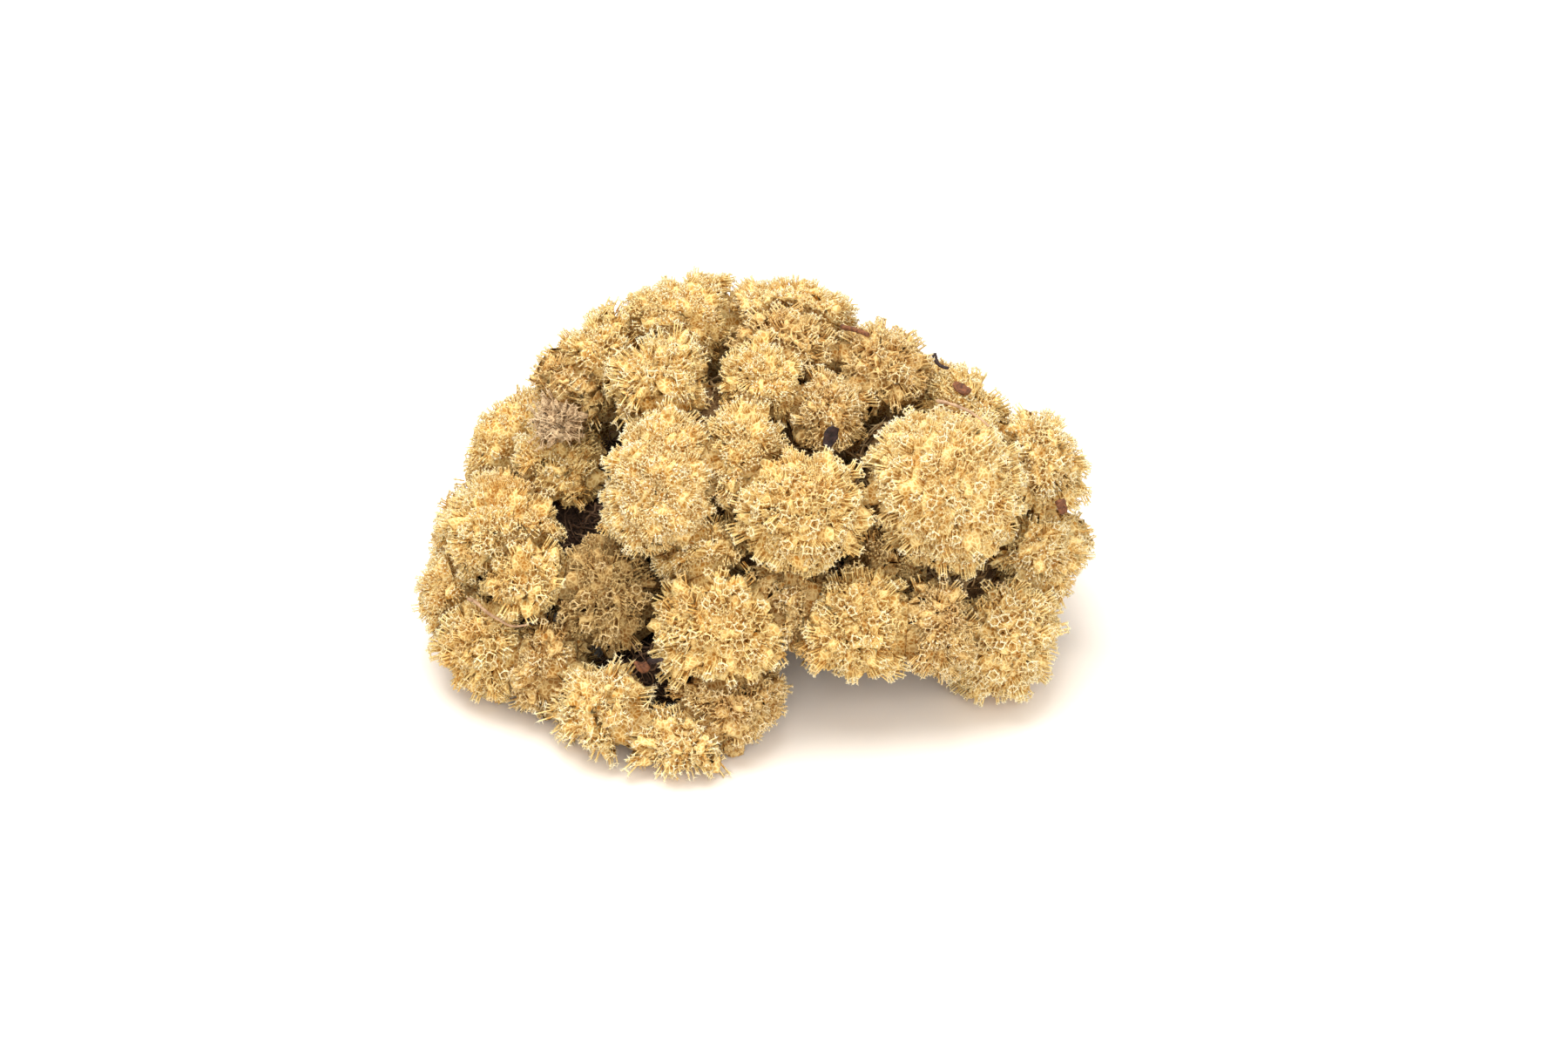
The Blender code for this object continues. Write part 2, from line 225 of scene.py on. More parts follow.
class Node:
    """One solid of the frame, with places to grow on."""

    def __init__(self, name: str) -> None:
        """Reads the solid's mesh.

        Args:
            name: the node's name in the frame.
        """
        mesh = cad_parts[name].data
        mesh.calc_loop_triangles()
        self.name = name
        self.points = np.array([vert.co for vert in mesh.vertices], float) / MM
        self.faces = np.array([tri.vertices for tri in mesh.loop_triangles])
        corners = self.points[self.faces]
        square = np.cross(corners[:, 1] - corners[:, 0], corners[:, 2] - corners[:, 0])
        self.areas = np.linalg.norm(square, axis=1) / 2
        self.normals = unit(square)
        self.corners = corners
        self.centre = (self.points.min(0) + self.points.max(0)) / 2
        self.slopes = np.zeros_like(self.points)
        for corner in range(3):
            np.add.at(self.slopes, self.faces[:, corner], square)
        self.slopes = unit(self.slopes)

    def fine_skin(self, cuts: int) -> tuple[np.ndarray, np.ndarray, np.ndarray]:
        """The skin with every triangle cut into smaller ones and rounded out.

        Args:
            cuts: how many parts each edge is cut into.

        Returns:
            Points, the way that each faces, and the triangles.
        """
        steps = [(i, j) for i in range(cuts + 1) for j in range(cuts + 1 - i)]
        share = np.array([(i, j, cuts - i - j) for i, j in steps]) / cuts
        number = {step: k for k, step in enumerate(steps)}
        small = []
        for i, j in steps:
            if i + j < cuts:
                small.append((number[i, j], number[i + 1, j], number[i, j + 1]))
            if i + j < cuts - 1:
                small.append((number[i + 1, j], number[i + 1, j + 1], number[i, j + 1]))
        bend = self.slopes[self.faces]
        flat = np.einsum("kc,fcx->fkx", share, self.corners)
        away = ((flat[:, :, None] - self.corners[:, None]) * bend[:, None]).sum(-1)
        rounded = flat - ROUNDING * np.einsum("kc,fkc,fcx->fkx", share, away, bend)
        ways = unit(np.einsum("kc,fcx->fkx", share, bend))
        faces = np.array(small)[None] + len(steps) * np.arange(len(self.faces))[:, None, None]
        keys = np.round(flat.reshape(-1, 3), 4)
        _, first, same = np.unique(keys, axis=0, return_index=True, return_inverse=True)
        joined = same.reshape(-1)[faces.reshape(-1, 3)]
        return rounded.reshape(-1, 3)[first], ways.reshape(-1, 3)[first], joined

    def scatter(self, spacing: float, rng: np.random.Generator) -> tuple[np.ndarray, np.ndarray]:
        """Points spread evenly over the skin, none nearer to another than the spacing.

        Args:
            spacing: the least distance between two points.
            rng: where the chance comes from.

        Returns:
            The points, and the way that each faces.
        """
        many = int(self.areas.sum() / spacing ** 2 * TRIES) + 12
        pick = rng.choice(len(self.faces), many, p=self.areas / self.areas.sum())
        u, v = rng.random((2, many, 1))
        over = u + v > 1
        u, v = np.where(over, 1 - u, u), np.where(over, 1 - v, v)
        a, b, c = (self.corners[pick, k] for k in range(3))
        places = a + (b - a) * u + (c - a) * v
        keep = thinned(places, spacing)
        facing, from_middle = self.normals[pick][keep], unit(places[keep] - self.centre)
        outward = unit(facing * (1 - OUTWARD) + from_middle * OUTWARD)
        return places[keep], outward


def thinned(places: np.ndarray, spacing: float) -> np.ndarray:
    """The numbers of the points that stay when each drops all later ones near it.

    Args:
        places: points, (points, 3).
        spacing: the least distance between two that stay.

    Returns:
        The numbers of the points that stay.
    """
    tree = KDTree(len(places))
    for i, place in enumerate(places):
        tree.insert(place, i)
    tree.balance()
    alive = np.ones(len(places), bool)
    keep = []
    for i, place in enumerate(places):
        if not alive[i]:
            continue
        keep.append(i)
        for _, j, _ in tree.find_range(place, spacing):
            alive[j] = False
    return np.array(keep, int)


class Surroundings:
    """All the large solids together, to tell what is pressed on and what shows."""

    def __init__(self, nodes: list[Node]) -> None:
        """Gathers the solids.

        Args:
            nodes: the solids that press on each other.
        """
        self.nodes = nodes
        self.tree = self.joined(nodes)

    @staticmethod
    def joined(nodes: list[Node]) -> BVHTree:
        """A search tree of some solids' faces."""
        starts = np.cumsum([0] + [len(node.points) for node in nodes])
        points = np.concatenate([node.points for node in nodes])
        faces = np.concatenate([node.faces + start for node, start in zip(nodes, starts)])
        return BVHTree.FromPolygons(points.tolist(), faces.tolist())

    def beside(self, name: str) -> "Neighbours":
        """What lies round one solid."""
        return Neighbours(self.joined([node for node in self.nodes if node.name != name]))

    def seen(self, places: np.ndarray, ways: np.ndarray, lift: float = 2.5) -> np.ndarray:
        """Whether each place can be seen from the front.

        Args:
            places: points on the skin.
            ways: the way that each faces.
            lift: how far off the skin it is looked at.

        Returns:
            True where it can.
        """
        found = np.zeros(len(places), bool)
        for i, (place, way) in enumerate(zip(places, ways)):
            start = Vector(place + way * lift)
            found[i] = self.tree.ray_cast(start, (FRONT - start).normalized(), SIGHT)[3] is None
        return found

    def sky(self, places: np.ndarray, ways: np.ndarray, reach: float = 30.0) -> np.ndarray:
        """The share of rays from each place that get clear of the clump.

        Args:
            places: points on the skin.
            ways: the way that each faces.
            reach: how far a ray goes.

        Returns:
            A share for each place.
        """
        turns = np.arange(SKY_RAYS)
        rise = 1 - (turns + 0.5) / SKY_RAYS * 0.9
        round_about = turns * math.pi * (3 - math.sqrt(5))
        flat = np.sqrt(1 - rise ** 2)
        first, second = crosswise(ways)
        found = np.zeros(len(places))
        for i, place in enumerate(places):
            start = Vector(place + ways[i] * 0.3)
            rays = (ways[i] * rise[:, None] + first[i] * (flat * np.cos(round_about))[:, None] +
                    second[i] * (flat * np.sin(round_about))[:, None])
            clear = sum(self.tree.ray_cast(start, Vector(ray), reach)[3] is None for ray in rays)
            found[i] = clear / SKY_RAYS
        return found


@dataclass
class Neighbours:
    """The solids round one solid, as a search tree of their faces."""

    tree: BVHTree

    def gaps(self, places: np.ndarray, ways: np.ndarray) -> np.ndarray:
        """How far it is from each place straight out to the next solid.

        Args:
            places: points on the solid's skin.
            ways: the way that each faces.

        Returns:
            The gap at each place, up to the longest that matters.
        """
        found = np.full(len(places), FAR)
        for i, (place, way) in enumerate(zip(places, ways)):
            gap = self.tree.ray_cast(Vector(place), Vector(way), FAR)[3]
            if gap is not None:
                found[i] = gap
        return found

    def nearest(self, places: np.ndarray) -> np.ndarray:
        """How far each place is from the nearest other solid, whichever way that lies."""
        found = [self.tree.find_nearest(Vector(place), FAR)[3] for place in places]
        return np.array([FAR if near is None else near for near in found])


@dataclass(frozen=True)
class Habit:
    """How a kind of head grows. Lengths are in millimetres."""

    whorl_gap: float          # between two whorls
    dome_gap: float           # between two domes of whorls
    dome_rise: float          # how far a dome stands above its edges
    crest: float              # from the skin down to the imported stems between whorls
    pit: float                # how much deeper the axil of a whorl is
    stems: int                # stems in a whorl
    tips: int                 # arms in the star on a stem
    ring: float               # from the axil's middle out to a stem's fork
    arm: float                # an arm's length
    stem_radius: float
    arm_radius: float
    splay: float              # how flat the stars lie: 0 points out, 1 lies flat
    wildness: float           # how unevenly it all grows
    gaps: float               # the share of whorls that are missing
    walls: float              # the share of whorls with a wall round the axil


class Growth(Enum):
    """The kinds of head in the clump."""

    FURRY = Habit(1.75, 6.0, 1.9, 1.3, 1.8, 5, 3, 0.80, 0.75, 0.16, 0.17, 0.78, 0.36, 0.05, 0.3)
    SPONGY = Habit(2.5, 5.6, 2.2, 1.35, 3.8, 6, 3, 1.20, 0.72, 0.22, 0.20, 0.84, 0.26, 0.10, 0.95)
    PLAIN = Habit(2.05, 6.0, 2.2, 1.35, 3.0, 5, 3, 0.98, 0.78, 0.18, 0.185, 0.80, 0.32, 0.08, 0.6)
    DENSE = Habit(2.4, 6.5, 1.2, 1.3, 1.3, 5, 3, 1.05, 0.9, 0.19, 0.19, 0.76, 0.34, 0.05, 0.4)
    WIRY = Habit(2.5, 7.0, 2.8, 2.2, 3.2, 4, 3, 1.2, 1.25, 0.19, 0.185, 0.70, 0.50, 0.12, 0.3)


@dataclass(frozen=True)
class LichenFinish:
    """A dry lichen surface: three colours from core to tip, picked by the stored depth, which also holds
    painted shade, and a shade that varies.
    """

    name: str
    deep: Colour
    middle: Colour
    tip: Colour
    stain: Colour                       # what the colours are multiplied by at the highest tint
    roughness: float = 0.88
    roughness_spread: float = 0.08
    shine: float = 0.25
    grain: float = 0.35                 # how strong the mealy bump is
    grain_height: float = 0.00012       # in metres
    grain_scale: float = 3500.0
    web_scale: float = 850.0            # cells of the net on the core, for each metre

    def material(self) -> bpy.types.Material:
        """The material, made once.

        Returns:
            The material with this finish's name.
        """
        made = bpy.data.materials.get(self.name)
        if made:
            return made
        made = bpy.data.materials.new(self.name)
        made.use_nodes = True
        tree = made.node_tree
        shader = tree.nodes["Principled BSDF"]
        depth = tree.nodes.new("ShaderNodeAttribute")
        depth.attribute_name = "depth"
        tint = tree.nodes.new("ShaderNodeAttribute")
        tint.attribute_name = "tint"
        # the ramp follows the stored depth, so the deep colour also lays down the painted shade
        ramp = self.ramp(tree, [(0.0, self.deep), (0.5, self.middle), (1.0, self.tip)])
        web = self.web(tree, depth)
        tree.links.new(web.outputs["Value"], ramp.inputs["Fac"])
        half = tuple(0.5 + 0.5 * value for value in self.stain)
        plain = (1, 1, 1)
        stain = self.ramp(tree, [(0.0, plain), (0.55, plain), (0.8, half), (1.0, self.stain)])
        tree.links.new(tint.outputs["Fac"], stain.inputs["Fac"])
        mix = tree.nodes.new("ShaderNodeMix")
        mix.data_type = "RGBA"
        mix.blend_type = "MULTIPLY"
        mix.inputs["Factor"].default_value = 1.0
        tree.links.new(ramp.outputs["Color"], mix.inputs["A"])
        tree.links.new(stain.outputs["Color"], mix.inputs["B"])
        tree.links.new(mix.outputs["Result"], shader.inputs["Base Color"])
        self.add_grain(tree, shader)
        shader.inputs["Specular IOR Level"].default_value = self.shine
        return made

    def web(self, tree: bpy.types.NodeTree, depth: bpy.types.Node) -> bpy.types.Node:
        """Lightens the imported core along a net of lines, so that it reads as crowded stems.

        Args:
            tree: the material's nodes.
            depth: the node that gives the stored depth.

        Returns:
            A node whose value is the depth with the net added.
        """
        where = tree.nodes.new("ShaderNodeTexCoord")
        cells = tree.nodes.new("ShaderNodeTexVoronoi")
        cells.feature = "DISTANCE_TO_EDGE"
        cells.inputs["Scale"].default_value = self.web_scale
        tree.links.new(where.outputs["Object"], cells.inputs["Vector"])
        lines = self.spread(tree, cells.outputs["Distance"], (0.0, 0.22), (0.3, -0.15))
        within = self.spread(tree, depth.outputs["Fac"], (0.3, 0.55), (1.0, 0.0))
        total = tree.nodes.new("ShaderNodeMath")
        total.operation = "MULTIPLY_ADD"
        tree.links.new(lines.outputs["Result"], total.inputs[0])
        tree.links.new(within.outputs["Result"], total.inputs[1])
        tree.links.new(depth.outputs["Fac"], total.inputs[2])
        return total

    @staticmethod
    def spread(tree: bpy.types.NodeTree, value: bpy.types.NodeSocket, source: tuple[float, float],
               target: tuple[float, float]) -> bpy.types.Node:
        """Stretches a value from one range to another.

        Args:
            tree: the material's nodes.
            value: the socket that the value comes from.
            source: the ends of the range that it has.
            target: the ends of the range that it is given.

        Returns:
            The node that does it.
        """
        node = tree.nodes.new("ShaderNodeMapRange")
        ends = (*source, *target)
        for socket, end in zip(("From Min", "From Max", "To Min", "To Max"), ends):
            node.inputs[socket].default_value = end
        tree.links.new(value, node.inputs["Value"])
        return node

    @staticmethod
    def ramp(tree: bpy.types.NodeTree, stops: list[tuple[float, Colour]]) -> bpy.types.Node:
        """A colour ramp with the given stops."""
        node = tree.nodes.new("ShaderNodeValToRGB")
        bar = node.color_ramp
        while len(bar.elements) < len(stops):
            bar.elements.new(0.5)
        for element, (place, colour) in zip(bar.elements, stops):
            element.position = place
            element.color = (*colour, 1.0)
        return node

    def add_grain(self, tree: bpy.types.NodeTree, shader: bpy.types.Node) -> None:
        """Adds the mealy grain that the dry surface has, to its bump and its roughness.

        Args:
            tree: the material's nodes.
            shader: its surface shader.
        """
        where = tree.nodes.new("ShaderNodeTexCoord")
        speckle = tree.nodes.new("ShaderNodeTexNoise")
        speckle.inputs["Scale"].default_value = self.grain_scale
        speckle.inputs["Detail"].default_value = 2.0
        tree.links.new(where.outputs["Object"], speckle.inputs["Vector"])
        bump = tree.nodes.new("ShaderNodeBump")
        bump.inputs["Strength"].default_value = self.grain
        bump.inputs["Distance"].default_value = self.grain_height
        tree.links.new(speckle.outputs["Fac"], bump.inputs["Height"])
        tree.links.new(bump.outputs["Normal"], shader.inputs["Normal"])
        ends = (self.roughness - self.roughness_spread, self.roughness + self.roughness_spread)
        dull = self.spread(tree, speckle.outputs["Fac"], (0.0, 1.0), ends)
        tree.links.new(dull.outputs["Result"], shader.inputs["Roughness"])


class Tone(Enum):
    """The shades of lichen in the clump: core, middle, tip and stain. The core colour also serves as
    painted shade, where the stored depth is darkened. Colours are linear.
    """

    CREAM = LichenFinish("cream_lichen", (0.49, 0.224, 0.033), (0.85, 0.645, 0.27), (0.955, 0.93, 0.74),
                         (0.93, 0.79, 0.58))
    STRAW = LichenFinish("straw_lichen", (0.45, 0.198, 0.028), (0.83, 0.612, 0.236), (0.945, 0.90, 0.675),
                         (0.91, 0.75, 0.54))
    TAN = LichenFinish("tan_lichen", (0.37, 0.156, 0.024), (0.75, 0.53, 0.206), (0.915, 0.822, 0.577),
                       (0.87, 0.71, 0.52))
    BUFF = LichenFinish("buff_lichen", (0.235, 0.10, 0.017), (0.54, 0.363, 0.135), (0.78, 0.615, 0.35),
                        (0.82, 0.69, 0.54))
    GREY = LichenFinish("grey_dead_lichen", (0.26, 0.15, 0.07), (0.68, 0.48, 0.27), (0.92, 0.74, 0.48),
                        (0.7, 0.66, 0.62))
    OLD = LichenFinish("old_stalk", (0.20, 0.10, 0.035), (0.52, 0.33, 0.14), (0.80, 0.60, 0.32),
                       (0.7, 0.66, 0.62))
    DEAD = LichenFinish("dead_stalk", (0.03, 0.015, 0.009), (0.11, 0.06, 0.033), (0.30, 0.18, 0.095),
                        (0.7, 0.66, 0.62))


def show(name: str, mesh: bpy.types.Mesh, material: bpy.types.Material, node: str) -> bpy.types.Object:
    """Puts a finished mesh in the scene in place of a solid of the frame.

    Args:
        name: the new piece's name.
        mesh: its mesh.
        material: its material.
        node: the solid that it stands for.

    Returns:
        The piece.
    """
    mesh.materials.append(material)
    piece = bpy.data.objects.new(name, mesh)
    bpy.context.scene.collection.objects.link(piece)
    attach(piece, BODY)
    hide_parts(node)
    LOG.info("%s: %d triangles", name, len(mesh.polygons))
    return piece


@dataclass
class LichenHead:
    """One rounded head of lichen, grown to the skin of its solid."""

    node: str
    tone: Tone
    growth: Growth = Growth.PLAIN
    slot: str = "pale_lichen"
    core_cuts: int = 4        # how many parts each edge of the core's triangles is cut into
    seed: int = 0
    dome_tilt: float = 0.7    # how far a whorl leans away from its dome's middle
    lump_rise: float = 2.8    # how far the broad lumps stand out
    lump_scale: float = 0.13  # lumps for each millimetre
    patch_scale: float = 0.09
    shade: float = 0.42       # the tint of most whorls
    pit_floor: float = 0.12   # how wide a pit's floor is, for each whorl gap
    pit_slope: float = 0.5    # and its sides
    core_depth: float = 0.34  # the core's place on the colour ramp: dark, as painted shade for the inside of the thicket
    pit_shade: float = 0.32   # and how much darker its pits are, as painted shade in the hollows
    solid: Node = field(init=False)
    rng: np.random.Generator = field(init=False)

    def __post_init__(self) -> None:
        """Reads the solid and sets up the chance that shapes the head."""
        self.solid = Node(self.node)
        self.rng = np.random.default_rng(1000 + self.seed)

    def build(self, around: Surroundings) -> bpy.types.Object:
        """Grows the head, and shows it in place of its solid.

        Args:
            around: the solids that press on it.

        Returns:
            The piece.
        """
        strands = Strands()
        self.grow(strands, around)
        material = self.tone.value.material()
        return show(f"{self.node}_thicket", strands.mesh(self.node), material, self.node)

    def grow(self, strands: Strands, around: Surroundings) -> None:
        """Adds the core and the whorls that stand on it.

        Args:
            strands: where the branches go.
            around: the solids that press on the head.
        """
        habit, rng = self.growth.value, self.rng
        domes, _ = self.solid.scatter(habit.dome_gap, rng)
        places, ways = self.solid.scatter(habit.whorl_gap, rng)
        beside = around.beside(self.node)
        gap = beside.gaps(places, ways)
        sky = around.sky(places, ways)
        self.add_core(strands, beside, domes, places)
        stay = rng.random(len(places)) < self.chance(places, ways, gap, sky)
        places, ways, gap, sky = places[stay], ways[stay], gap[stay], sky[stay]
        shown = around.seen(places, ways)
        fewer = shown | (rng.random(len(places)) < UNSEEN_SHARE)
        places, ways, gap, sky = places[fewer], ways[fewer], gap[fewer], sky[fewer]
        shown = shown[fewer]
        offset, sunk = self.sunk(places, domes)
        tilt = offset / habit.dome_gap * self.dome_tilt
        out = unit(ways + tilt + rng.normal(0, 0.4, ways.shape) * habit.wildness)
        drop = habit.crest + habit.dome_rise * sunk + rng.normal(0, 0.8, sunk.shape) * habit.wildness
        drop -= self.swell(places, gap, beside)
        axil = places - ways * drop[:, None]
        # painted shade: each whorl's colour is darkened towards the edge of its dome and where it sees
        # little sky, for the shade in creases, hollows and under the heads
        light = np.clip(1 - 0.2 * sunk, 0.5, 1) * (0.58 + 0.42 * np.clip(sky * 2.0, 0, 1))
        patch = self.lumps(places, self.patch_scale)
        tint = np.clip(self.shade + 0.75 * patch + rng.normal(0, 0.16, len(places)), 0, 1)
        self.add_whorls(strands, axil, out, light, tint, np.where(shown, 1.0, UNSEEN_SIZE))

    def chance(self, places: np.ndarray, ways: np.ndarray, gap: np.ndarray, sky: np.ndarray) -> np.ndarray:
        """How likely a whorl is at each place: none where it is shut in, few where it is stood on.

        Args:
            places: points on the skin.
            ways: the way that each faces.
            gap: how far it is straight out from each to the next solid.
            sky: the share of the sky that each sees.

        Returns:
            A chance for each place.
        """
        shut_in = (sky <= 0) & (gap < FAR)
        stood_on = (places[:, 2] < 1.0) & (ways[:, 2] < -0.7)
        return np.where(stood_on, 0.2, np.where(shut_in, 0.0, 1 - self.growth.value.gaps))

    def lumps(self, places: np.ndarray, scale: float) -> np.ndarray:
        """Smooth noise that is this head's own, at each place."""
        return np.array([noise.noise(Vector(place * scale + self.seed)) for place in places])

    def swell(self, places: np.ndarray, gap: np.ndarray, beside: Neighbours) -> np.ndarray:
        """How far the growth stands out from the skin: into creases, and in lumps.

        Args:
            places: points on the skin.
            gap: how far it is straight out from each to the next solid.
            beside: the solids round the head.

        Returns:
            A length for each place.
        """
        lump = self.lumps(places, self.lump_scale) - 0.1
        crease = CREASE_FILL * np.log1p(np.exp(-beside.nearest(places) / CREASE_FILL)) - 0.5
        room = np.where(gap < FAR, gap * 0.5 - CLEARANCE, OPEN_ROOM)
        return np.minimum(crease + self.lump_rise * lump, room)

    def sunk(self, places: np.ndarray, domes: np.ndarray) -> tuple[np.ndarray, np.ndarray]:
        """How each place lies on its dome.

        Args:
            places: points on the skin.
            domes: the domes' middles.

        Returns:
            The way from the dome's middle to each place, and a share that is 0 at the middle, 1 at
            the edge and a little more beyond it.
        """
        tree = KDTree(len(domes))
        for i, dome in enumerate(domes):
            tree.insert(dome, i)
        tree.balance()
        owner = np.array([tree.find(place)[1] for place in places])
        offset = places - domes[owner]
        apart = np.linalg.norm(offset, axis=1) / (self.growth.value.dome_gap * 0.52)
        return offset, np.clip(apart, 0, 1.2) ** 2

    def add_core(self, strands: Strands, beside: Neighbours, domes: np.ndarray,
                 places: np.ndarray) -> None:
        """Adds the core: the skin drawn in, with a pit at the middle of each whorl, coloured dark as
        painted shade and darkest in the pits.

        Args:
            strands: where the core goes.
            beside: the solids round the head.
            domes: the domes' middles.
            places: the whorls' middles.
        """
        habit = self.growth.value
        points, ways, faces = self.solid.fine_skin(self.core_cuts)
        gap = beside.gaps(points, ways)
        _, sunk = self.sunk(points, domes)
        tree = KDTree(len(places))
        for i, place in enumerate(places):
            tree.insert(place, i)
        tree.balance()
        near = np.array([tree.find(point)[2] for point in points]) / habit.whorl_gap
        pit = 1 - np.clip((near - self.pit_floor) / self.pit_slope, 0, 1) ** 2
        lump = np.array([noise.noise(Vector(point * 0.9)) for point in points])
        deep = habit.crest + habit.dome_rise * sunk + habit.pit * pit + 0.5 * lump
        deep -= self.swell(points, gap, beside)
        most = np.linalg.norm(points - self.solid.centre, axis=1) * DEEPEST_SHARE
        deep = np.where(gap > PRESSED, deep, -gap * 0.45)
        deep = np.minimum(deep, np.minimum(most, DEEPEST))
        # painted shade: the core's colour is set dark, and darker towards the middle of each pit
        shade = self.core_depth - self.pit_shade * pit
        strands.add_solid(points - ways * deep[:, None], faces, shade, 0.5 + 0.5 * lump)

    def add_whorls(self, strands: Strands, axil: np.ndarray, out: np.ndarray, light: np.ndarray,
                   tint: np.ndarray, size: np.ndarray) -> None:
        """Adds the ring of stems round each axil, each with its star of tips.

        Args:
            strands: where the branches go.
            axil: the middle of each whorl.
            out: the way that each whorl faces.
            light: each whorl's painted light, a factor that darkens its colour where shade would fall.
            tint: each whorl's shade.
            size: how large each whorl is.
        """
        habit, rng = self.growth.value, self.rng
        shape = (len(axil), habit.stems)
        first, second = crosswise(out)
        angle = rng.uniform(0, math.tau, (shape[0], 1)) + math.tau * np.arange(shape[1]) / shape[1]
        angle = (angle + rng.normal(0, 0.6, shape) * habit.wildness)[..., None]
        ring = np.cos(angle) * first[:, None] + np.sin(angle) * second[:, None]
        up = out[:, None]
        size = size[:, None, None]
        reach = habit.ring * size * rng.uniform(0.7, 1.25, (*shape, 1))
        rise = habit.crest * rng.uniform(0.45, 0.95, (*shape, 1))
        base = axil[:, None] + ring * reach * 0.85 - up * (0.5 + 0.6 * habit.pit)
        fork = axil[:, None] + up * rise + ring * reach
        lean = unit(up + ring * 0.35 + rng.normal(0, 1.0, (*shape, 3)) * habit.wildness)
        tip = fork + lean * habit.arm * rng.uniform(0.15, 0.6, (*shape, 1))
        walled = rng.random(shape[0]) < habit.walls
        low = rng.uniform(0.0, 0.2, (*shape, 1))
        posts = fork * (1 - low) + base * low
        self.add_walls(strands, posts[walled], light[walled], tint[walled])
        thick = np.repeat(size[:, 0], shape[1], axis=0)
        line = np.stack([base, fork, tip], axis=2).reshape(-1, 3, 3)
        radius = np.array([habit.stem_radius * 1.2, habit.stem_radius, 0.0]) * thick
        lit = np.repeat(light, shape[1])[:, None]
        shade = np.repeat(tint, shape[1]) + rng.normal(0, 0.05, len(line))
        # painted shade: a stem's colour runs from dark at its base to pale at its tip, all scaled by the
        # whorl's painted light
        strands.add(line, radius, np.array([0.0, 0.66, 0.95]) * lit, shade, pointed=True)
        self.add_stars(strands, line[:, 1], lean.reshape(-1, 3), ring.reshape(-1, 3), thick, lit, shade)

    def add_stars(self, strands: Strands, fork: np.ndarray, lean: np.ndarray, away: np.ndarray,
                  thick: np.ndarray, lit: np.ndarray, shade: np.ndarray) -> None:
        """Adds the star of pointed arms on each stem.

        Args:
            strands: where the arms go.
            fork: the point where each stem forks.
            lean: the way that each stem points.
            away: the way from the whorl's axil to each stem.
            thick: how much larger than usual each star is.
            lit: each star's painted light, a factor that darkens its colour where shade would fall.
            shade: each stem's tint.
        """
        habit, rng = self.growth.value, self.rng
        column = (len(fork), 1)
        lean = unit(lean + rng.normal(0, 0.35, lean.shape))
        side, other = crosswise(lean)
        first = rng.uniform(0, math.tau, column)
        radius = habit.arm_radius * np.array([1.0, 0.0]) * thick
        for turn in range(habit.tips):
            angle = first + math.tau * turn / habit.tips + rng.normal(0, 0.4, column)
            flat = np.cos(angle) * side + np.sin(angle) * other
            flat = flat + away * OPENING
            way = lean * (1 - habit.splay) + flat * habit.splay
            way = unit(way + rng.normal(0, 0.12, lean.shape))
            start = fork - lean * habit.arm * rng.uniform(-0.2, 0.35, column)
            end = start + way * habit.arm * thick * rng.uniform(0.65, 1.2, column)
            line = np.stack([start - way * 0.1, end], axis=1)
            # painted shade: the arms' colour is scaled by the painted light
            strands.add(line, radius, np.array([0.78, 0.98]) * lit, shade, pointed=True, turn=turn)

    def add_walls(self, strands: Strands, posts: np.ndarray, light: np.ndarray, tint: np.ndarray) -> None:
        """Adds the low walls that join a whorl's stems round its axil.

        Args:
            strands: where the branches go.
            posts: a point on each stem of each whorl, (whorls, stems, 3).
            light: each whorl's painted light, a factor that darkens its colour where shade would fall.
            tint: each whorl's shade.
        """
        line = np.stack([posts, np.roll(posts, -1, axis=1)], axis=2).reshape(-1, 2, 3)
        # painted shade: the walls' colour is scaled by each whorl's painted light
        depth = np.repeat(light, posts.shape[1])[:, None] * np.array([0.74, 0.74])
        shade = np.repeat(tint, posts.shape[1])
        keep = self.rng.random(len(line)) < WALL_SHARE
        radius = self.growth.value.stem_radius * self.rng.uniform(0.6, 1.1, (len(line), 1)) * np.ones(2)
        strands.add(line[keep], radius[keep], depth[keep], shade[keep], pointed=False)


